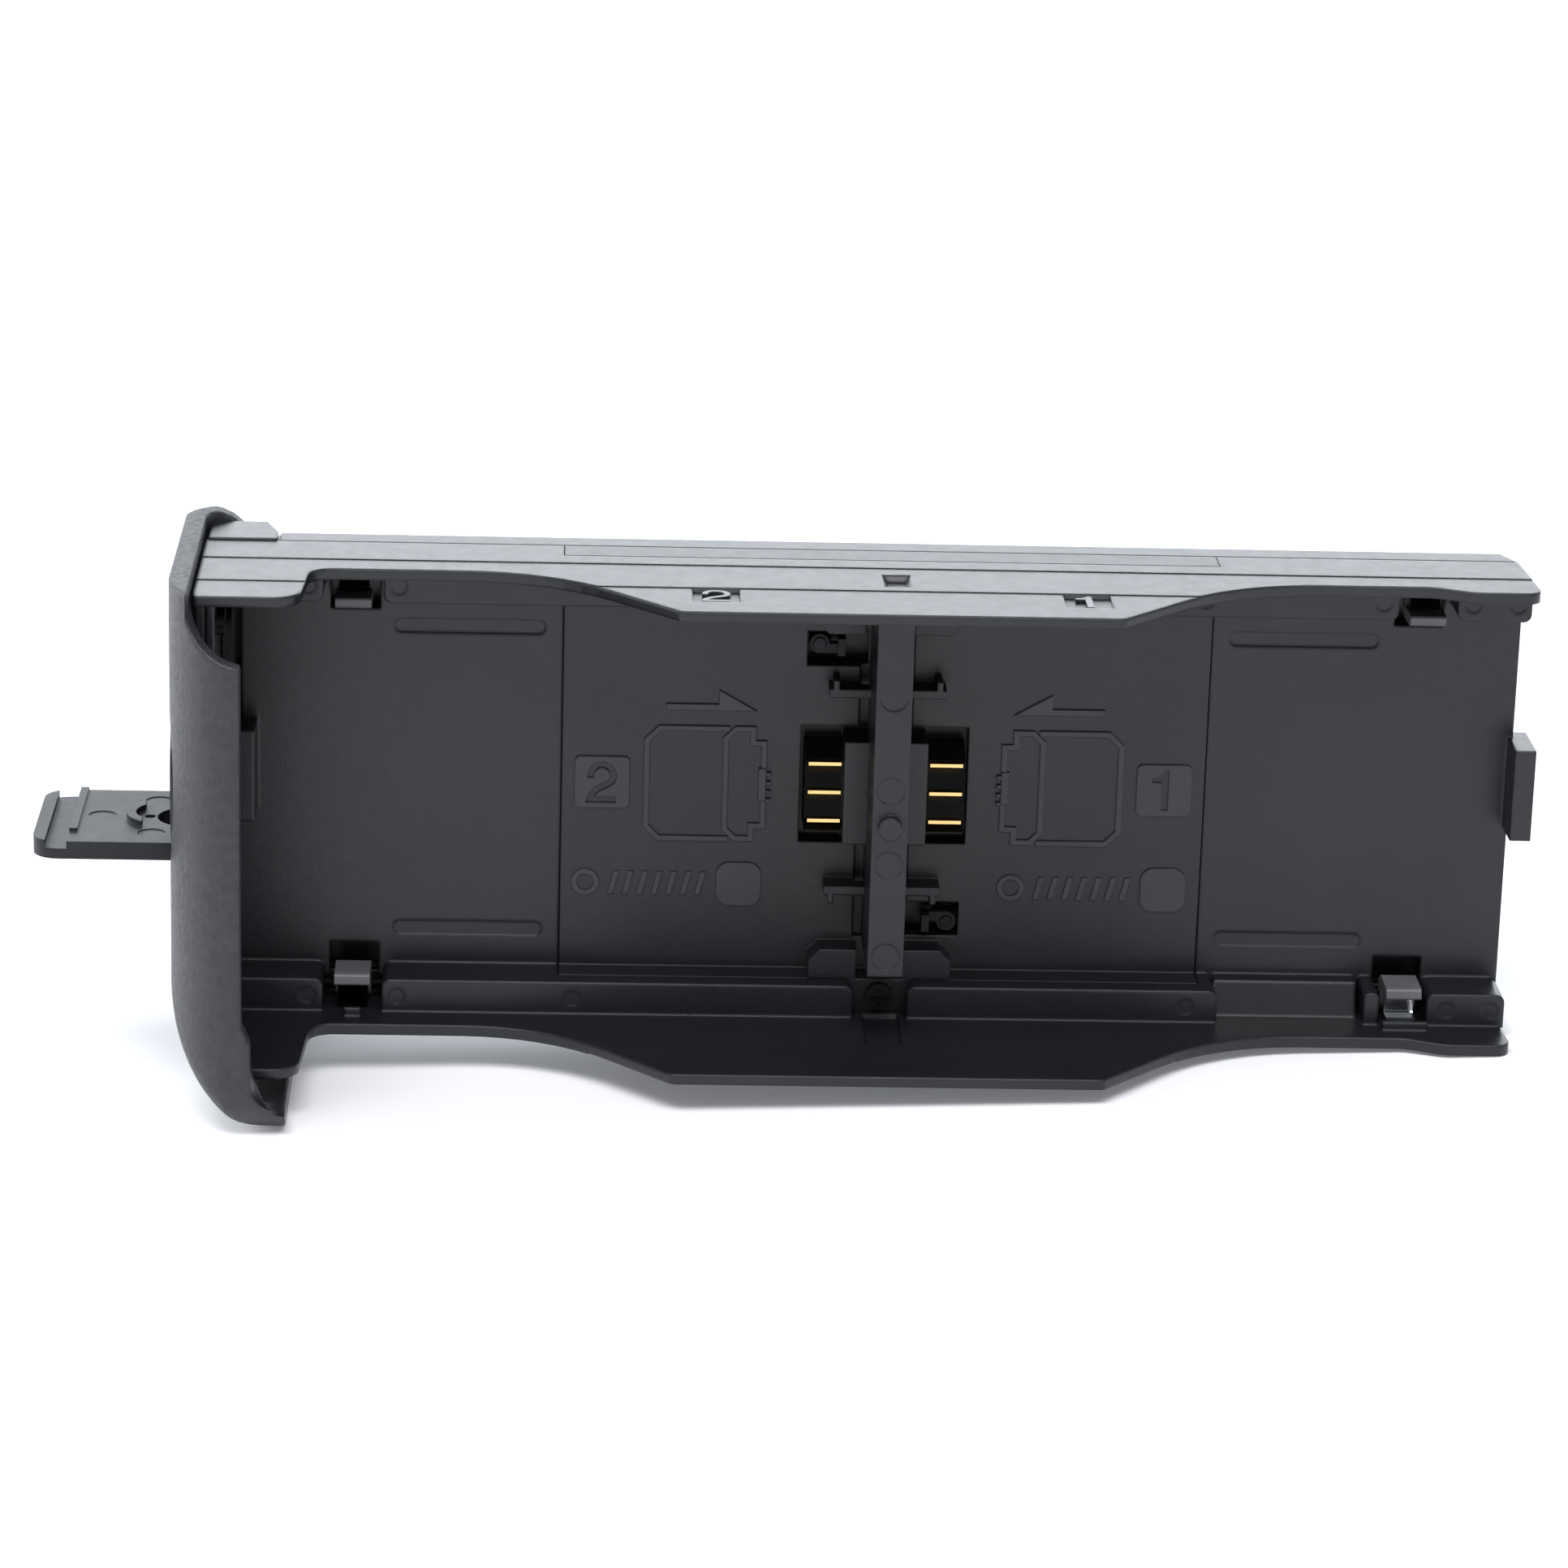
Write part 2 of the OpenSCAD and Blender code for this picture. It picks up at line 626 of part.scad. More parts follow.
module claw_top_left() color([0.42, 0.43, 0.45]) mirror([1, 0, 0]) claw();
module claw_top_right() color([0.42, 0.43, 0.45]) claw();
module claw_bottom_left() color([0.42, 0.43, 0.45]) mirror([1, 0, 0]) mirror([0, 0, 1]) claw();
module claw_bottom_right() color([0.42, 0.43, 0.45]) mirror([0, 0, 1]) claw();
module claw_pins() color([0.7, 0.7, 0.72]) both_ends() up_and_down() claw_pin_holes(0);
module claw_spring_top_left() color([0.75, 0.76, 0.78]) mirror([1, 0, 0]) claw_spring();
module claw_spring_top_right() color([0.75, 0.76, 0.78]) claw_spring();
module claw_spring_bottom_left() color([0.75, 0.76, 0.78]) mirror([1, 0, 0]) mirror([0, 0, 1]) claw_spring();
module claw_spring_bottom_right() color([0.75, 0.76, 0.78]) mirror([0, 0, 1]) claw_spring();

// Presence levers, drawn as the upper left one

sense_pin_r = 0.6;
sense_hub_r = 1;
sense_d = [block_back, -0.4];
sense_foot = -1.5;
sense_tip = 2.6 - sense_at.x;
sense_tip_w = 0.8;
sense_tip_h = 0.8;
sense_tip_d = 0.7;
sense_arm_hz = 0.7;
sense_arm_d = -seat_t - 1.5 * fit;
sense_z = span(sense_at.y, -sense_hub_r, 0);
module sense_lever() difference() {
    union() {
        bar_d(-sense_at.x, sense_d, sense_at.y, sense_hub_r);
        block([-sense_at.x, sense_tip], [sense_foot, sense_d[1]], sense_z);
        block([sense_tip - sense_tip_w, sense_tip], [sense_foot, sense_tip_d], sense_z + [0, sense_tip_h]);
        block(span(-sense_at.x, -sense_arm, 0), [block_back, sense_arm_d], around(sense_at.y, sense_arm_hz));
    }
    bar_d(-sense_at.x, [-far, far], sense_at.y, sense_pin_r + run);
}

// hairpin spring between a presence lever and the stop on the rear cover
wire_t = 0.2;
wire_top = sense_at.y + sense_stop_z[0] - wire_t / 2 - tiny;
wire_low = sense_at.y + sense_arm_hz + wire_t / 2 + 2 * tiny;
wire_x = [-0.7, -4, -4.3, -3];
wire_bend = 0.28;
module sense_spring() front([block_back, -2]) polygon(strip([
    [wire_x[0] - sense_at.x, wire_top], [wire_x[1] - sense_at.x, wire_top],
    [wire_x[2] - sense_at.x, wire_top - wire_bend], [wire_x[3] - sense_at.x, wire_low]
], wire_t));

module sense_lever_left() color([0.3, 0.3, 0.32]) sense_lever();
module sense_lever_right() color([0.3, 0.3, 0.32]) rotate([0, 180, 0]) sense_lever();
module sense_pins() color([0.7, 0.7, 0.72]) for (k = [0, 180]) rotate([0, k, 0])
    bar_d(-sense_at.x, [pad_sunk - back_t, -1.5 * fit], sense_at.y, sense_pin_r);
module sense_spring_left() color([0.75, 0.76, 0.78]) sense_spring();
module sense_spring_right() color([0.75, 0.76, 0.78]) rotate([0, 180, 0]) sense_spring();

// Door

// the bottom and the front edge are parts of ellipses
sole_round = [sole_l - 0.3, 14.3];
near_round = [lip_l - 0.4, door_round];
rear_round = [4.8, 4.8];
foot_r = 5;
edge_steps = 16;
door_over = 5;
function quarter(c, r, from) = [
    for (i = [0:edge_steps]) let (a = from - 90 * i / edge_steps) c + [r.x * cos(a), r.y * sin(a)]
];
function door_front(inset, over) = concat(
    [[sole_x + over, inset - door_drop]],
    quarter([door_out, -door_drop] + sole_round, sole_round - [inset, inset], 270),
    [[door_out + inset, door_top + over], [sole_x + over, door_top + over]]
);
function door_plan(inset) = concat(
    [[far, fwd(door_near - inset)]],
    quarter([door_out, fwd(door_near)] + near_round, near_round - [inset, inset], 270),
    quarter([door_out + rear_round.x, fwd(rear_round.y - door_rear)], rear_round - [inset, inset], 180),
    [[far, fwd(inset - door_rear)]]
);
// the door's outer form, set in by some amount and carried past its open ends
module door_solid(inset, over = 0) intersection() {
    front([-far, far]) polygon(door_front(inset, over));
    plan([-far, far]) polygon(door_plan(inset));
    side([-far, far]) polygon(rounded([
        [fwd(door_near - inset), inset - door_drop, foot_r - inset], [fwd(door_near - inset), far, 0],
        [fwd(inset - door_rear), far, 0], [fwd(inset - door_rear), inset - door_drop, foot_r - inset]
    ]));
}
// everything that the door's hollow leaves no room for
module beyond_door() difference() {
    block([-far, sole_x], [-far, far], [-far, far]);
    door_solid(skin_t + shell_t + 1.5 * fit, door_over);
}
// what the lips leave open, seen from the front: the near lip widens at its foot, the rear one is round
lip_split = -5;
lip_foot_r = 2.8;
lip_jog = 0.85;
jog_z = [11.7, 9.8];
jog_r = 0.8;
rear_lip_top = door_top + 0.3;
rear_lip_r = 6.3;
lip_low = skin_t + shell_t - door_drop;
module lip_opening(back) {
    front([lip_split - 1, far]) polygon(rounded([
        [lip_x - back, far, 0], [lip_x - back, jog_z[0] - door_drop, jog_r],
        [lip_x + lip_jog - back, jog_z[1] - door_drop, jog_r],
        [lip_x + lip_jog - back, lip_low, lip_foot_r + back], [far, lip_low, 0], [far, far, 0]
    ]));
    front([-far, lip_split]) polygon(rounded([
        [-far, far, 0], [-far, rear_lip_top, 0], [lip_x - back, rear_lip_top, rear_lip_r],
        [lip_x - back, lip_low, lip_foot_r + back], [far, lip_low, 0], [far, far, 0]
    ]));
}
// the near lip ends in a scoop at the top
scoop_r = 6.6;
scoop_off = 0.8;
module scoop() intersection() {
    translate([lip_x + scoop_off, fwd(lip_split), door_top]) rotate([90, 0, 0])
        cylinder(h = far, r = scoop_r);
    block([shell_in - fit, far], [-far, far], [-far, far]);
}
module lock_bore(r) bar_x([-far, 0], lock_d, lock_z, r);

// the layer that the skin takes up, as thick outwards as needed
skin_edge = 1;
module skin_layer(out) difference() {
    door_solid(-out, 2 * out);
    door_solid(skin_t, door_over);
    lip_opening(skin_edge);
    block([sole_x - skin_edge, far], [-far, far], [-far, far]);
}

module door_skin() color([0.24, 0.24, 0.25]) difference() {
    skin_layer(0);
    scoop();
    lock_bore(rotor_r + clear);
}

boss_root = 0.5;
module door_shell() color([0.13, 0.13, 0.14]) difference() {
    union() {
        difference() {
            door_solid(0);
            door_solid(skin_t + shell_t, door_over);
            lip_opening(0);
        }
        for (h = door_holes) bar_x([shell_in - boss_root, frame_x[1] - fit], h.x, h.y, boss_r);
    }
    skin_layer(1);
    scoop();
    lock_bore(rotor_r + clear);
    // seat of the disc's flange and its seal
    lock_stack([shell_in - fit, 0], flange_r + clear);
    for (h = door_holes) bar_x([shell_out + boss_root, 0], h.x, h.y, pilot_r);
}

// guide blocks behind the head, with one corner cut off
guide_back = door_rear - skin_t - shell_t - 2 * fit;
guide_split = -rim_split - fit;
guide_z = span(wall_in, -1.5, 1.4);
guide_end = cover_start - clear;
guide_cut = [1.3, 4];
module door_frame() color([0.14, 0.14, 0.15]) difference() {
    union() {
        block(frame_x, [guide_split, head_top_d - 1], around(0, wall_in - fit));
        block(frame_x, [-guide_back, guide_split], around(0, guide_z[1]));
        up_and_down() plan(guide_z) polygon([
            [frame_x[0], fwd(guide_split)], [guide_end, fwd(guide_split)],
            [guide_end, fwd(guide_cut.y - guide_back)], [guide_end - guide_cut.x, fwd(-guide_back)],
            [frame_x[0], fwd(-guide_back)]
        ]);
    }
    beyond_door();
    bar_x([-far, 0], lock_d, lock_z, flange_r + clear);
    for (h = door_holes) bar_x([-far, 0], h.x, h.y, boss_r + fit);
}

door_screw_l = head_wall[1] - shell_out - boss_root - 2 * fit;
module door_screws() color([0.6, 0.6, 0.62]) for (h = door_holes)
    translate([head_wall[1], fwd(h.x), h.y]) rotate([0, 90, 0]) screw(door_screw_l);

// Lock

shaft_r = 3;
tenon = 3.8;
flange_x = shell_in + 0.6;
lever_fold_z = span(hinge_z, -lever_t / 2 - clear, lever_l + clear);
finger_w = 9;
finger_edge = 2.4;
lever_pin_r = 0.5;
lock_pilot = 0.55;
// moves a piece drawn around the lock axis with depth along its first axis and height along its second
module on_lock(x) translate([x, fwd(lock_d), lock_z]) rotate([90, 0, 90]) children();

module lock_rotor() color([0.12, 0.12, 0.13]) difference() {
    union() {
        lock_stack([rotor_front, rotor_back], rotor_r);
        lock_stack([flange_x, rotor_back], flange_r);
        lock_stack([rotor_back - tiny, cam_x[0]], shaft_r);
        on_lock(cam_x[0] - tiny) linear_extrude(cam_t) square(tenon, center = true);
    }
    // pocket for the folded lever, with a finger scoop beyond its tip
    block([-far, pocket_x], around(lock_d, lever_w / 2 + clear), lever_fold_z);
    block([-far, pocket_x], around(lock_d, finger_w / 2), [hinge_z, lock_z + rotor_r - finger_edge]);
    lever_bore(lever_pin_hw, tiny);
    lock_stack([rotor_back - lock_pilot, 0], pilot_r);
}
module lock_stack(x, r) bar_x(x, lock_d, lock_z, r);
// hinge pin across the rotor
module lever_bore(hw, grow) translate([hinge_x, fwd(lock_d), hinge_z]) rotate([90, 0, 0])
    cylinder(h = 2 * (hw + grow), r = lever_pin_r + grow, center = true);

seal_t = 0.5;
module rotor_seal() color([0.05, 0.05, 0.05]) difference() {
    lock_stack(span(flange_x, -seal_t - 2 * tiny, -2 * tiny), flange_r - 2 * tiny);
    lock_stack([-far, 0], rotor_r + clear + fit);
}

washer_r = 6;
module lock_washer() color([0.8, 0.8, 0.8]) difference() {
    lock_stack([rotor_back + tiny, head_wall[0] - tiny], washer_r);
    lock_stack([-far, 0], shaft_r + fit);
}

cam_hub_r = 4;
cam_w = 4;
module lock_cam() color([0.6, 0.61, 0.63]) on_lock(cam_x[0]) linear_extrude(cam_t) difference() {
    union() {
        circle(r = cam_hub_r);
        translate([-cam_w / 2, 0]) square([cam_w, cam_r - cam_w / 2]);
        translate([0, cam_r - cam_w / 2]) circle(d = cam_w);
    }
    square(tenon + 2 * tiny, center = true);
}

lock_head_r = 2.6;
lock_head_h = 0.4;
module lock_screw() color([0.55, 0.55, 0.57])
    on_lock(cam_x[1] + tiny) screw(cam_x[1] - rotor_back + lock_pilot - fit, lock_head_r, lock_head_h);

module lever_pin() color([0.7, 0.7, 0.72]) lever_bore(lever_pin_hw, 0);

// a channel with a rib beside it crosses the lever near its tip; part of a ring stands around its notch
lever_y = fwd(lock_d);
lever_tip = hinge_x - lever_l;
lever_r = 2.6;
channel_x = span(lever_tip, 1.3, 3.45);
channel_depth = 0.75;
rib_w = 0.8;
rib_h = 0.3;
rib_stop = 3.4;
ring_x = hinge_x - 2.25;
ring_r = [3.1, 4.05];
ring_end = 2.3;
notch_r = 3.2;
lever_marks = [[6.3, 0.2], [11.6, 5.2], [11.6, -5.4]];
lever_mark_r = 1.4;
lever_hole_x = hinge_x - 3.95;
lever_hole_r = 0.55;
module lock_lever() color([0.16, 0.16, 0.17]) difference() {
    union() {
        plan(around(hinge_z, lever_t / 2)) polygon(rounded([
            [hinge_x, lever_y + lever_w / 2, 0], [lever_tip, lever_y + lever_w / 2, lever_r],
            [lever_tip, lever_y - lever_w / 2, lever_r], [hinge_x, lever_y - lever_w / 2, 0]
        ]));
        translate([hinge_x, lever_y, hinge_z]) rotate([90, 0, 0])
            cylinder(h = lever_w, r = lever_t / 2, center = true);
        intersection() {
            translate([ring_x, lever_y, hinge_z]) difference() {
                cylinder(h = lever_t / 2 + ring_h, r = ring_r[1]);
                cylinder(h = far, r = ring_r[0]);
            }
            block([-far, ring_x - ring_end], [-far, far], [-far, far]);
        }
        translate([channel_x[1], lever_y - lever_w / 2 + rib_stop, hinge_z])
            cube([rib_w, lever_w - rib_stop, lever_t / 2 + rib_h]);
    }
    block(channel_x, [-far, far], [hinge_z + lever_t / 2 - channel_depth, far]);
    translate([hinge_x, lever_y, hinge_z]) cylinder(h = far, r = notch_r, center = true);
    for (m = lever_marks) translate([lever_tip + m.x, lever_y + m.y, hinge_z + lever_t / 2 - mark_depth])
        cylinder(h = far, r = lever_mark_r);
    translate([lever_hole_x, lever_y, hinge_z]) cylinder(h = far, r = lever_hole_r);
    lever_bore(lever_w, run);
}

tray_frame();
center_panel();
terminal_block();
contact_blades();
terminal_board();
rear_contacts();
rear_cover();
rear_cover_screws();
panel_screw();
claw_top_left();
claw_top_right();
claw_bottom_left();
claw_bottom_right();
claw_pins();
claw_spring_top_left();
claw_spring_top_right();
claw_spring_bottom_left();
claw_spring_bottom_right();
sense_lever_left();
sense_lever_right();
sense_pins();
sense_spring_left();
sense_spring_right();
door_skin();
door_shell();
door_frame();
door_screws();
lock_rotor();
rotor_seal();
lock_washer();
lock_cam();
lock_screw();
lever_pin();
lock_lever();
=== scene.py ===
"""Battery tray of a camera battery grip, dressed for the photograph's view."""
import json
import math

import bmesh
import bpy
from mathutils import Matrix, Vector
from mathutils.geometry import tessellate_polygon


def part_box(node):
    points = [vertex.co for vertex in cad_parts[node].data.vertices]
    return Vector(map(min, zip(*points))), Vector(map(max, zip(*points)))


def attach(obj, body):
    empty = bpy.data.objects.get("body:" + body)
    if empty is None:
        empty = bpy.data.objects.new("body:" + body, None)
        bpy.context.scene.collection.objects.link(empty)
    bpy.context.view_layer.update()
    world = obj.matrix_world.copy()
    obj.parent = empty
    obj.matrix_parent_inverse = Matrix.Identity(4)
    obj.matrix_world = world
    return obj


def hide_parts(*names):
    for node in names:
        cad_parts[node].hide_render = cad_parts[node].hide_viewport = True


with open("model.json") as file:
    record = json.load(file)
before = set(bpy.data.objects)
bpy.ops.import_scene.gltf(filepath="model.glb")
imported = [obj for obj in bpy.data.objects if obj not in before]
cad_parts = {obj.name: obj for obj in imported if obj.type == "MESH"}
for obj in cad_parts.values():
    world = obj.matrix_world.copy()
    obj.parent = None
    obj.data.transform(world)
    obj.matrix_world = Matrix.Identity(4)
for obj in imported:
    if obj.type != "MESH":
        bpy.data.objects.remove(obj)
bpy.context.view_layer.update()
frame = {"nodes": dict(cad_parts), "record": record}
nodes = frame["nodes"]

MM = 0.001


# Camera at the photograph's viewing angle
LENS = 123.4
SENSOR = 36.0
AZIMUTH = math.radians(-2.5)
ELEVATION = math.radians(17.35)
ROLL = math.radians(1.64)
DISTANCE = 0.546
TARGET = Vector((-10.12, -5.2, -0.09)) * MM


def make_camera():
    back = Vector((
        math.sin(AZIMUTH) * math.cos(ELEVATION),
        -math.cos(AZIMUTH) * math.cos(ELEVATION),
        math.sin(ELEVATION),
    ))
    right = (-back).cross(Vector((0, 0, 1))).normalized()
    up = right.cross(-back)
    across = math.cos(ROLL) * right + math.sin(ROLL) * up
    upright = math.cos(ROLL) * up - math.sin(ROLL) * right
    data = bpy.data.cameras.new("camera")
    data.lens = LENS
    data.sensor_width = SENSOR
    camera = bpy.data.objects.new("camera", data)
    turn = Matrix((across, upright, back)).transposed().to_4x4()
    camera.matrix_world = Matrix.Translation(TARGET + DISTANCE * back) @ turn
    bpy.context.scene.collection.objects.link(camera)
    bpy.context.scene.camera = camera


# Materials
class Shader:
    """A node material with short ways to add and join its nodes."""

    def __init__(self, name):
        self.material = bpy.data.materials.new(name)
        self.material.use_nodes = True
        self.tree = self.material.node_tree
        self.surface = self.tree.nodes["Principled BSDF"]
        self.place = self.add("ShaderNodeTexCoord").outputs["Object"]

    def add(self, kind, **settings):
        node = self.tree.nodes.new(kind)
        for key, value in settings.items():
            if hasattr(node, key):
                setattr(node, key, value)
            else:
                node.inputs[key.replace("_", " ")].default_value = value
        return node

    def join(self, output, socket):
        self.tree.links.new(output, socket)

    def set(self, **values):
        for key, value in values.items():
            self.surface.inputs[key.replace("_", " ")].default_value = value

    def grain(self, size, detail=2.0):
        """Noise whose features are about size metres across."""
        tex = self.add("ShaderNodeTexNoise", Scale=1 / size, Detail=detail, Roughness=0.55)
        self.join(self.place, tex.inputs["Vector"])
        return tex.outputs["Fac"]

    def cells(self, size, feature="F1"):
        """Cell pattern whose cells are about size metres across."""
        tex = self.add("ShaderNodeTexVoronoi", feature=feature, Scale=1 / size)
        self.join(self.place, tex.inputs["Vector"])
        return tex.outputs["Distance"]

    def spread(self, value, low, high):
        """Maps a 0 to 1 pattern to a range of numbers."""
        node = self.add("ShaderNodeMapRange", To_Min=low, To_Max=high)
        self.join(value, node.inputs["Value"])
        return node.outputs["Result"]

    def tint(self, value, dark, light):
        """Maps a 0 to 1 pattern to a range of colours."""
        ramp = self.add("ShaderNodeValToRGB")
        ramp.color_ramp.elements[0].position = 0.3
        ramp.color_ramp.elements[1].position = 0.7
        ramp.color_ramp.elements[0].color = (*dark, 1)
        ramp.color_ramp.elements[1].color = (*light, 1)
        self.join(value, ramp.inputs["Fac"])
        return ramp.outputs["Color"]

    def round_edges(self, radius):
        """Normals that roll over a piece's edges within radius metres."""
        node = self.add("ShaderNodeBevel", samples=6, Radius=radius)
        return node.outputs["Normal"]

    def bump(self, height, depth, strength=1.0, under=None):
        """Adds small relief of the given depth in metres."""
        node = self.add("ShaderNodeBump", Strength=strength, Distance=depth)
        self.join(height, node.inputs["Height"])
        if under:
            self.join(under, node.inputs["Normal"])
        self.join(node.outputs["Normal"], self.surface.inputs["Normal"])
        return node.outputs["Normal"]


def moulded(name, dark, light, rough, spark=0.09 * MM, depth=0.006 * MM, edge=0.14 * MM, shine=0.5):
    """Moulded plastic with a fine spark-eroded grain and softened edges."""
    s = Shader(name)
    s.join(s.tint(s.grain(7 * MM, 3), dark, light), s.surface.inputs["Base Color"])
    s.join(s.spread(s.grain(1.3 * MM), rough[0], rough[1]), s.surface.inputs["Roughness"])
    coarse = s.bump(s.grain(2.6 * spark), 1.4 * depth, under=s.round_edges(edge))
    s.bump(s.grain(spark, 1), depth, under=coarse)
    s.set(IOR=1.5, Specular_IOR_Level=shine)
    return s.material


def metal(name, dark, light, rough, brushed):
    """Metal with fine drawn lines along one direction."""
    s = Shader(name)
    stretch = s.add("ShaderNodeMapping", Scale=brushed)
    s.join(s.place, stretch.inputs["Vector"])
    lines = s.add("ShaderNodeTexNoise", Scale=9000, Detail=2)
    s.join(stretch.outputs["Vector"], lines.inputs["Vector"])
    s.join(s.tint(lines.outputs["Fac"], dark, light), s.surface.inputs["Base Color"])
    s.join(s.spread(lines.outputs["Fac"], rough[0], rough[1]), s.surface.inputs["Roughness"])
    s.bump(lines.outputs["Fac"], 0.003 * MM)
    s.set(Metallic=1.0)
    return s.material


BLACK = ((0.0082, 0.0091, 0.0116), (0.0112, 0.0123, 0.0152))
# Painted shade: near-black colour for the contact columns deep in the cavity beside the nose
COLUMN_PAINTED_SHADE = (0.0045, 0.004, 0.0035)
NOSE_HALF = 4.3 * MM
SKIN_DARK = (0.020, 0.021, 0.024)
SKIN_LIGHT = (0.032, 0.0335, 0.037)


def skin_material():
    """Rubbery covering with a fine leather grain."""
    s = Shader("grip_skin")
    pebbles = s.cells(0.55 * MM, "SMOOTH_F1")
    s.join(s.tint(s.grain(0.9 * MM, 3), SKIN_DARK, SKIN_LIGHT), s.surface.inputs["Base Color"])
    s.join(s.spread(pebbles, 0.42, 0.62), s.surface.inputs["Roughness"])
    coarse = s.bump(pebbles, 0.05 * MM, 0.6)
    s.bump(s.grain(0.14 * MM, 1), 0.012 * MM, under=coarse)
    s.set(IOR=1.5)
    return s.material


def board_material():
    """Circuit board under solder mask, with a faint weave."""
    s = Shader("board")
    s.join(s.tint(s.grain(2 * MM), (0.01, 0.05, 0.02), (0.02, 0.09, 0.035)), s.surface.inputs["Base Color"])
    s.join(s.spread(s.grain(0.6 * MM), 0.25, 0.4), s.surface.inputs["Roughness"])
    s.bump(s.cells(0.4 * MM), 0.01 * MM)
    return s.material


def terminal_material():
    """Moulded plastic of the nose; the contact columns beside it get painted shade, a near-black colour and
    weaker reflection, and are glossier.
    """
    s = Shader("terminal_plastic")
    across = s.add("ShaderNodeSeparateXYZ")
    s.join(s.place, across.inputs["Vector"])
    off = s.add("ShaderNodeMath", operation="ABSOLUTE")
    s.join(across.outputs["X"], off.inputs[0])
    column = s.add("ShaderNodeMapRange", From_Min=NOSE_HALF, From_Max=NOSE_HALF + 0.1 * MM)
    s.join(off.outputs["Value"], column.inputs["Value"])
    beside = column.outputs["Result"]
    # Painted shade: darker colour and weaker reflection on the columns beside the nose
    s.join(s.tint(beside, BLACK[1], COLUMN_PAINTED_SHADE), s.surface.inputs["Base Color"])
    s.join(s.spread(beside, 0.34, 0.22), s.surface.inputs["Roughness"])
    s.join(s.spread(beside, 0.5, 0.22), s.surface.inputs["Specular IOR Level"])
    s.bump(s.grain(0.1 * MM, 1), 0.004 * MM, under=s.round_edges(0.25 * MM))
    s.set(IOR=1.5)
    return s.material


# Painted sheen: the marks are the panel's own plastic, made lighter for the sheen on their smooth raised
# faces
MARK_SHEEN_BLACK = ((0.0230, 0.0242, 0.0280), (0.0270, 0.0284, 0.0325))
LINE_X = (0.05, 1, 1)
LINE_Y = (1, 0.05, 1)
# Finishes of the material slots, and special looks that some pieces wear instead
PAINT = {
    "black_plastic": moulded("black_plastic", *BLACK, (0.30, 0.40), edge=0.5 * MM),
    "panel_plastic": moulded("panel_plastic", *BLACK, (0.32, 0.42), edge=0.3 * MM),
    "grey_plastic": moulded("grey_plastic", (0.085, 0.088, 0.094), (0.125, 0.128, 0.135), (0.34, 0.46)),
    "grip_skin": skin_material(),
    "gold_contact": metal("gold_contact", (0.80, 0.52, 0.19), (0.95, 0.70, 0.32), (0.16, 0.30), LINE_X),
    "black_steel": metal("black_steel", (0.02, 0.02, 0.022), (0.04, 0.04, 0.042), (0.36, 0.48), LINE_Y),
    "board": board_material(),
}
LOOKS = {
    # Painted sheen: a lighter copy of the panel's plastic for the raised marks
    "mark_sheen_plastic": moulded("mark_sheen_plastic", *MARK_SHEEN_BLACK, (0.28, 0.36), depth=0.002 * MM, edge=0.2 * MM),
    "lever_plastic": moulded(
        "lever_plastic", (0.020, 0.021, 0.024), (0.030, 0.031, 0.034), (0.38, 0.48), shine=0.16),
    "terminal_plastic": terminal_material(),
    "dull_steel": metal("dull_steel", (0.018, 0.018, 0.02), (0.035, 0.035, 0.038), (0.36, 0.5), LINE_X),
    # Painted shade: a near-black copy of steel for metal deep in shade
    "painted_shade_steel": metal("painted_shade_steel", (0.004, 0.004, 0.0045), (0.008, 0.008, 0.0085), (0.5, 0.62), LINE_X),
    # Painted glint: a bright copy of steel for the spring that catches light
    "bright_steel": metal("bright_steel", (0.66, 0.67, 0.69), (0.74, 0.75, 0.77), (0.16, 0.22), LINE_X),
}
# Metal that sits in the dark is dull; the claw pins and three of the claw springs get painted shade,
# near-black steel, and the lower right claw spring a painted glint, bright steel
LOOK_OF = {
    **dict.fromkeys((
        "sense_pins", "door_screws", "lock_screw", "lock_washer", "lever_pin", "sense_spring_left",
        "sense_spring_right",
    ), "dull_steel"),
    **dict.fromkeys((
        "claw_pins", "claw_spring_top_left", "claw_spring_top_right", "claw_spring_bottom_left",
    ), "painted_shade_steel"),
    "sense_lever_left": "lever_plastic", "sense_lever_right": "lever_plastic", "lock_lever": "lever_plastic",
    "terminal_block": "terminal_plastic", "claw_spring_bottom_right": "bright_steel",
}


def paint(obj, slot, look=None):
    """Gives a piece its finish, either its slot's own or a special look."""
    obj.data.materials.clear()
    obj.data.materials.append(LOOKS[look] if look else PAINT[slot])


def dress_solids():
    for part in frame["record"]["subparts"]:
        name = part["node"]
        paint(nodes[name], part["material_slot"], LOOK_OF.get(name))


# Flat marks: outlines in millimetres, raised from a face
def strip(path, width):
    """Outline of a line of constant width along a path."""
    sides = ([], [])
    points = [Vector(p) for p in path]
    for i, p in enumerate(points):
        before = (p - points[i - 1]).normalized() if i else None
        after = (points[i + 1] - p).normalized() if i + 1 < len(points) else None
        a, b = before or after, after or before
        across = Vector((-a.y - b.y, a.x + b.x)).normalized()
        reach = width / 2 / across.dot(Vector((-a.y, a.x)))
        sides[0].append(tuple(p + across * reach))
        sides[1].append(tuple(p - across * reach))
    return sides[0] + sides[1][::-1]


def bow(cx, cz, r, start, stop, steps=8):
    """Points along an arc, by angles in degrees."""
    turns = [math.radians(start + (stop - start) * i / steps) for i in range(steps + 1)]
    return [(cx + r * math.cos(a), cz + r * math.sin(a)) for a in turns]


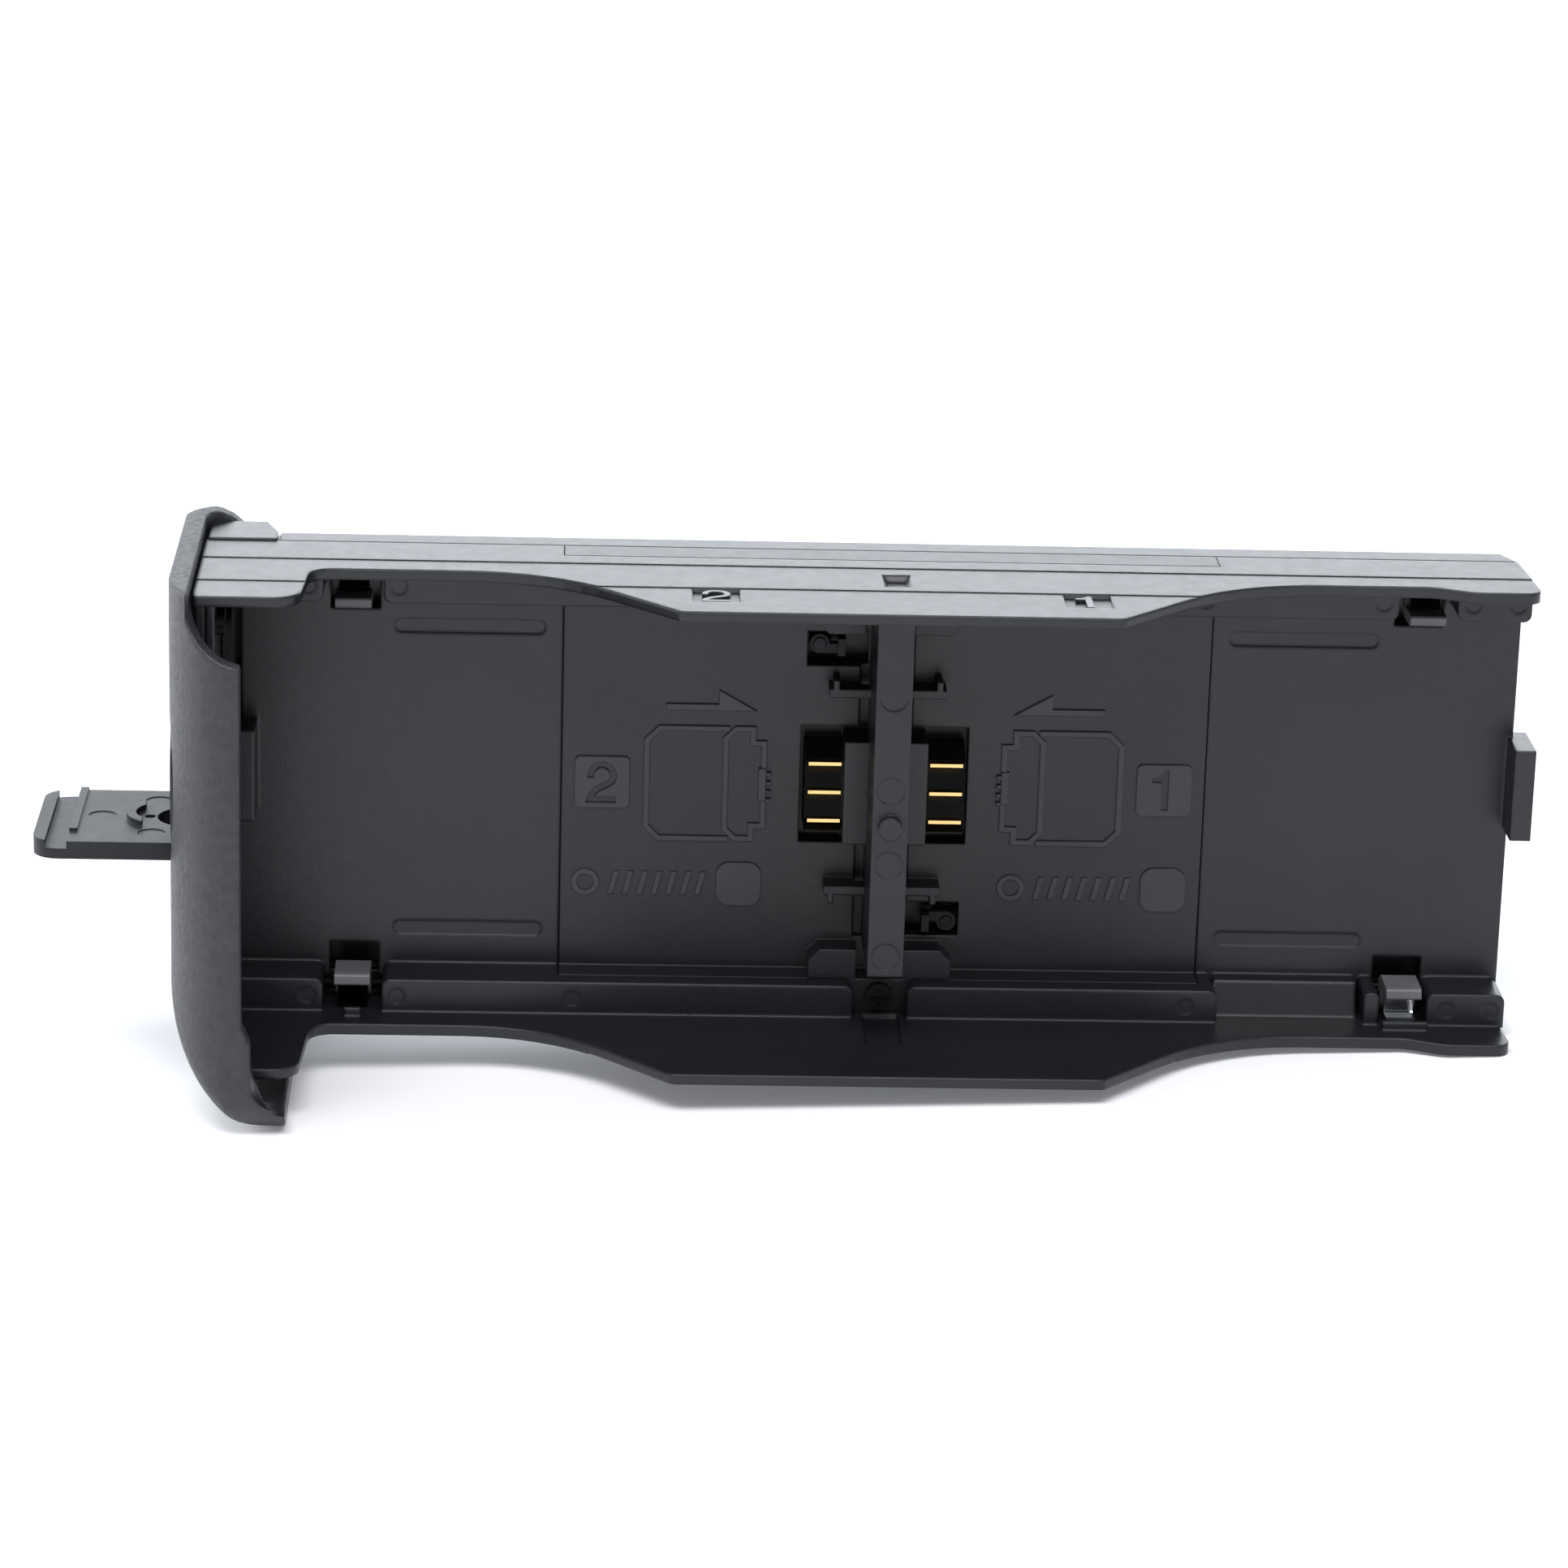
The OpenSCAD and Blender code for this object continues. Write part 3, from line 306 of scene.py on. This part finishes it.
def round_box(x0, x1, z0, z1, r, steps=5):
    """Outline of a rectangle with rounded corners."""
    corners = ((x1 - r, z1 - r), (x0 + r, z1 - r), (x0 + r, z0 + r), (x1 - r, z0 + r))
    return [p for i, (x, z) in enumerate(corners) for p in bow(x, z, r, 90 * i, 90 * i + 90, steps)]


def box_loop(x0, x1, z0, z1):
    return [(x0, z0), (x1, z0), (x1, z1), (x0, z1)]


def shifted(loop, dx, dz, scale=1.0):
    return [(dx + scale * x, dz + scale * z) for x, z in loop]


def flipped(loops):
    return [[(-x, z) for x, z in loop] for loop in loops]


def new_object(name, mesh, slot, body, look=None):
    obj = bpy.data.objects.new(name, mesh)
    bpy.context.scene.collection.objects.link(obj)
    paint(obj, slot, look)
    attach(obj, body)
    return obj


def slab(name, loops, place, low, high, slot="panel_plastic"):
    """A flat piece from an outline and its holes, between two heights over a face."""
    flat = [point for loop in loops for point in loop]
    count = len(flat)
    cut = tessellate_polygon([[Vector((x, z, 0)) for x, z in loop] for loop in loops])
    verts = [place(x, z, high) for x, z in flat] + [place(x, z, low) for x, z in flat]
    faces = [tuple(t) for t in cut] + [tuple(count + i for i in reversed(t)) for t in cut]
    start = 0
    for loop in loops:
        for i in range(len(loop)):
            a, b = start + i, start + (i + 1) % len(loop)
            faces.append((a, b, count + b, count + a))
        start += len(loop)
    mesh = bpy.data.meshes.new(name)
    mesh.from_pydata(verts, [], faces)
    form = bmesh.new()
    form.from_mesh(mesh)
    bmesh.ops.recalc_face_normals(form, faces=form.faces)
    form.to_mesh(mesh)
    form.free()
    return new_object(name, mesh, slot, "tray", "mark_sheen_plastic")


SEAT_Y = -5.2
MARK_SUNK = -0.03


def on_seat(x, z, height):
    return Vector((x, SEAT_Y - height, z)) * MM


def on_wall(x, y, height):
    return Vector((x, y, height)) * MM


# Numerals 4.3 mm tall about their middle
NUMERAL_WIDTH = 0.62
TWO = strip(
    bow(0, 0.69, 1.17, 190, -25) + [(0.6, -0.2), (-0.5, -0.75), (-1.05, -1.3), (-1.2, -1.85), (1.4, -1.85)],
    NUMERAL_WIDTH)
ONE = [
    (-1.25, 0.86), (-1.25, 1.25), (-0.55, 1.48), (-0.15, 1.85), (0.03, 2.12), (0.45, 2.12), (0.45, -2.1),
    (-0.25, -2.1), (-0.25, 0.86),
]
# Signs on the centre panel, drawn for the right bay in millimetres
LINE = 0.6
ARROW = [(22.25, 7.6), (13.0, 7.6), (16.9, 9.8), (16.9, 8.3), (22.25, 8.3)]
PACK_BODY = strip([(15.7, 5.7), (22.8, 5.7), (24.1, 4.4), (24.1, -4.7), (22.8, -6.0), (15.7, -6.0)], LINE)
FACE_OUT = [
    (16.4, 4.8), (15.2, 6.0), (13.05, 6.0), (13.05, 4.5), (11.9, 4.5), (11.9, -4.85), (13.1, -4.85),
    (13.1, -6.25), (15.2, -6.25), (16.4, -5.0),
]
FACE_IN = [
    (15.8, 4.55), (14.95, 5.4), (13.65, 5.4), (13.65, 3.9), (12.5, 3.9), (12.5, -4.25), (13.7, -4.25),
    (13.7, -5.65), (14.95, -5.65), (15.8, -4.75),
]
COMB = (11.95, 12.75, -1.9, 1.6)
TOOTH = (11.47, 11.97, 0.42)
TEETH_Z = (1.2, 0.25, -0.7, -1.6)
PAD_SPAN = (25.8, 31.4, -2.9, 2.6)
PAD_ROUND = 0.6
BADGE_ROUND = 1.3
BADGES = {"left": (-16.8, -12.2, -13.2, -8.5), "right": (26.65, 31.3, -13.2, -8.5)}
PLATES = {"left": (-31.9, -17.9, -12.6, -9.1), "right": (11.6, 25.6, -12.6, -9.1)}
MARK_HEIGHT = 0.22
NAME_HEIGHT = 0.16
NAME_BARS = 7
RING_INSET = (0.3, 0.9)
RING_STEPS = 23
RING_TURN = 345
BAR_GAP = 0.5
BAR_TAIL = 0.9
BAR_WIDTH = 0.62
BAR_LEAN = 0.6
COMB_HEIGHT = 0.32


def make_name_place(side, x0, x1, z0, z1):
    """A plain ring and a row of slanted bars."""
    r, middle = (z1 - z0) / 2, (z0 + z1) / 2
    ring = [bow(x0 + r, middle, r - inset, 0, RING_TURN, RING_STEPS) for inset in RING_INSET]
    slab(f"name_ring_{side}", ring, on_seat, MARK_SUNK, NAME_HEIGHT)
    first = x0 + 2 * r + BAR_GAP
    pitch = (x1 - x0 - 2 * r - BAR_TAIL) / (NAME_BARS - 0.5)
    low, high = z0 + BAR_GAP, z1 - BAR_GAP
    for i in range(NAME_BARS):
        x = first + i * pitch
        bar = [(x, low), (x + BAR_WIDTH, low), (x + BAR_WIDTH + BAR_LEAN, high), (x + BAR_LEAN, high)]
        slab(f"name_bar_{i}_{side}", [bar], on_seat, MARK_SUNK, NAME_HEIGHT)


def make_marks():
    """Raised signs on the centre panel: arrows, pack outlines, bay numbers and bare name places."""
    for side, turn in (("right", lambda loops: loops), ("left", flipped)):
        def raise_mark(name, loops, height=MARK_HEIGHT):
            slab(f"{name}_{side}", turn(loops), on_seat, MARK_SUNK, height)
        raise_mark("arrow", [ARROW])
        raise_mark("pack_body", [PACK_BODY])
        raise_mark("pack_face", [FACE_OUT, FACE_IN])
        raise_mark("pack_comb", [box_loop(*COMB)], COMB_HEIGHT)
        for i, z in enumerate(TEETH_Z):
            tooth = box_loop(TOOTH[0], TOOTH[1], z - TOOTH[2], z)
            raise_mark(f"pack_tooth_{i}", [tooth], COMB_HEIGHT)
        x0, x1, z0, z1 = PAD_SPAN
        sign = 1 if side == "right" else -1
        middle = (sign * (x0 + x1) / 2, (z0 + z1) / 2)
        pad = [(sign * x, z) for x, z in round_box(*PAD_SPAN, PAD_ROUND)]
        numeral = shifted(ONE if side == "right" else TWO, *middle)
        slab(f"number_pad_{side}", [pad, numeral], on_seat, MARK_SUNK, MARK_HEIGHT)
        slab(f"badge_{side}", [round_box(*BADGES[side], BADGE_ROUND)], on_seat, MARK_SUNK, MARK_HEIGHT)
        make_name_place(side, *PLATES[side])


# Numerals in the sunk fields of the upper wall
FIELD_X = {"left": -17.95, "right": 18.35}
FIELD_Y = SEAT_Y - 16.7
FIELD_Z = (23.85, 24.22)
FIELD_SCALE = 0.95


def make_wall_numbers():
    for side, outline in (("left", TWO), ("right", ONE)):
        loop = shifted(outline, FIELD_X[side], FIELD_Y, FIELD_SCALE)
        slab(f"wall_number_{side}", [loop], on_wall, *FIELD_Z, slot="black_plastic")


# Dark seam between the rear cover's rim and the door's upper guide block
SEAM_WIDTH = 0.2
SEAM_OFF = 0.05
SEAM_Y = (-4.5, -1.9)
SEAM_Z = (20.5, 24.25)


def make_seam():
    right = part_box("rear_cover")[0].x / MM - SEAM_OFF
    loop = box_loop(right - SEAM_WIDTH, right, *SEAM_Y)
    slab("guide_seam", [loop], on_wall, *SEAM_Z, slot="black_plastic")


# Door: skin and shell as one smooth form, with the corner between front and bottom edge blended
DOOR_GRAIN = 0.24 * MM
DOOR_ROUNDS = 4
RIM_ROUNDS = 3
BLEND_POWER = 3.0
NEAR_ROUND = Vector((7.0, 10.0)) * MM
SOLE_ROUND = Vector((11.3, 14.3)) * MM
LIP_X = -63.5 * MM
RIM_WIDTH = 2.4 * MM
RIM_EDGE = 0.4 * MM
FOOT_Z = -20 * MM
SCOOP_AXIS = Vector((-62.7, 25.7)) * MM
SCOOP_RIM = 7.0 * MM
BAY_MIDDLE = Vector((-40, -16, 0)) * MM
FACING_IN = 0.25


def setback(distance, rounding):
    """How far an elliptical edge has fallen back at some distance from the side that it rounds to."""
    share = min(max(1 - distance / rounding.y, 0.0), 1.0)
    return rounding.x * (1 - math.sqrt(1 - share * share))


def evaluated(obj, name):
    """The mesh that an object's modifiers make, in place of the object."""
    made = bpy.data.meshes.new_from_object(obj.evaluated_get(bpy.context.evaluated_depsgraph_get()))
    bpy.data.objects.remove(obj)
    made.name = name
    return made


def smooth(obj, rounds, group=""):
    ease = obj.modifiers.new("ease", "SMOOTH")
    ease.factor = 0.5
    ease.iterations = rounds
    ease.vertex_group = group


def loose(name, mesh):
    obj = bpy.data.objects.new(name, mesh)
    bpy.context.scene.collection.objects.link(obj)
    return obj


def door_form():
    """Skin and shell in one even mesh, smoothed most along the rim of the lips."""
    joined = bmesh.new()
    for node in ("door_skin", "door_shell"):
        joined.from_mesh(nodes[node].data)
    mesh = bpy.data.meshes.new("door_joined")
    joined.to_mesh(mesh)
    joined.free()
    obj = loose("door_joined", mesh)
    even = obj.modifiers.new("even", "REMESH")
    even.mode = "VOXEL"
    even.voxel_size = DOOR_GRAIN
    smooth(obj, DOOR_ROUNDS)
    obj = loose("door_even", evaluated(obj, "door_even"))
    rim = obj.vertex_groups.new(name="rim")
    rim.add([v.index for v in obj.data.vertices if v.co.x > LIP_X - RIM_WIDTH], 1.0, "REPLACE")
    smooth(obj, RIM_ROUNDS, "rim")
    return evaluated(obj, "door_form")


def faces_bay(face):
    """Whether a face of the door is on its inside, away from the rims."""
    to_bay = (BAY_MIDDLE - face.center).normalized()
    off_axis = (Vector((face.center.x, face.center.z)) - SCOOP_AXIS).length
    clear_of_rim = face.center.x < LIP_X - RIM_EDGE or face.center.z < FOOT_Z
    return face.normal.dot(to_bay) > FACING_IN and clear_of_rim and off_axis > SCOOP_RIM


def make_door():
    low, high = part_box("door_shell")
    whole = door_form()
    for v in whole.vertices:
        near = setback(v.co.y - low.y, NEAR_ROUND)
        sole = setback(v.co.z - low.z, SOLE_ROUND)
        blend = (near ** BLEND_POWER + sole ** BLEND_POWER) ** (1 / BLEND_POWER) - max(near, sole)
        v.co.x = max(v.co.x, min(v.co.x + blend, high.x))
    inside = {face.index for face in whole.polygons if faces_bay(face)}
    for node, kept, slot in (("door_skin", False, "grip_skin"), ("door_shell", True, "black_plastic")):
        half = bmesh.new()
        half.from_mesh(whole)
        drop = [face for face in half.faces if (face.index in inside) != kept]
        bmesh.ops.delete(half, geom=drop, context="FACES")
        mesh = bpy.data.meshes.new(node + "_form")
        half.to_mesh(mesh)
        half.free()
        mesh.shade_smooth()
        obj = new_object(node + "_form", mesh, slot, "tray")
        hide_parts(node)


# Stage: a pale floor that touches the door's bottom and the lower wall's free end
SEEN_LIFT = 0.14
MIRRORED_LIFT = 0.15
FLOOR_HALF = 4
FLANGE_EDGE = 1.6 * MM


def make_stage():
    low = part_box("door_skin")[0]
    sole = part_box("door_shell")[1].x
    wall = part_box("tray_frame")
    end = Vector((wall[1].x - FLANGE_EDGE, 0, wall[0].z))
    start = Vector((sole, 0, low.z))
    slope = math.atan2(end.z - start.z, end.x - start.x)
    mesh = bpy.data.meshes.new("floor")
    grid = bmesh.new()
    bmesh.ops.create_grid(grid, x_segments=1, y_segments=1, size=FLOOR_HALF)
    grid.to_mesh(mesh)
    grid.free()
    floor = bpy.data.objects.new("floor", mesh)
    floor.matrix_world = Matrix.Translation(start) @ Matrix.Rotation(-slope, 4, "Y")
    bpy.context.scene.collection.objects.link(floor)
    s = Shader("floor")
    s.join(s.tint(s.grain(0.4), (0.90, 0.90, 0.93), (0.93, 0.93, 0.95)), s.surface.inputs["Base Color"])
    s.set(Roughness=0.9, Specular_IOR_Level=0.2, Emission_Color=(0.92, 0.945, 1.0, 1))
    path = s.add("ShaderNodeLightPath")
    lift = s.add("ShaderNodeMath", operation="ADD")
    s.join(s.spread(path.outputs["Is Camera Ray"], 0.0, SEEN_LIFT), lift.inputs[0])
    s.join(s.spread(path.outputs["Is Glossy Ray"], 0.0, MIRRORED_LIFT), lift.inputs[1])
    s.join(lift.outputs["Value"], s.surface.inputs["Emission Strength"])
    floor.data.materials.append(s.material)


# Soft studio light, with a white background for the camera alone
SKY = (0.90, 0.94, 1.0, 1)
SKY_STRENGTH = 0.4


def area_light(name, place, aim, size, watts, colour=(1, 1, 1)):
    data = bpy.data.lights.new(name, "AREA")
    data.shape = "RECTANGLE"
    data.size, data.size_y = size
    data.energy = watts
    data.color = colour
    lamp = bpy.data.objects.new(name, data)
    lamp.location = place
    lamp.rotation_mode = "QUATERNION"
    lamp.rotation_quaternion = (Vector(aim) - Vector(place)).to_track_quat("-Z", "Y")
    bpy.context.scene.collection.objects.link(lamp)


def make_light():
    area_light("back", (-0.2, 0.95, 0.33), (0, 0, 0), (2.6, 0.5), 13.5, (0.90, 0.95, 1.0))
    area_light("top", (-0.1, -0.45, 0.85), (0, -0.1, 0), (0.9, 0.4), 9.0)
    area_light("side", (-0.75, 0.2, 0.22), (-0.07, 0, 0), (0.8, 0.7), 4.5)
    world = bpy.data.worlds.new("studio")
    world.use_nodes = True
    tree = world.node_tree
    sky = tree.nodes["Background"]
    sky.inputs["Color"].default_value = SKY
    sky.inputs["Strength"].default_value = SKY_STRENGTH
    white = tree.nodes.new("ShaderNodeBackground")
    white.inputs["Color"].default_value = (1, 1, 1, 1)
    mix = tree.nodes.new("ShaderNodeMixShader")
    path = tree.nodes.new("ShaderNodeLightPath")
    tree.links.new(path.outputs["Is Camera Ray"], mix.inputs["Fac"])
    tree.links.new(sky.outputs["Background"], mix.inputs[1])
    tree.links.new(white.outputs["Background"], mix.inputs[2])
    tree.links.new(mix.outputs["Shader"], tree.nodes["World Output"].inputs["Surface"])
    bpy.context.scene.world = world


make_camera()
dress_solids()
make_marks()
make_wall_numbers()
make_seam()
make_door()
make_stage()
make_light()
bpy.context.scene.view_settings.view_transform = "Standard"
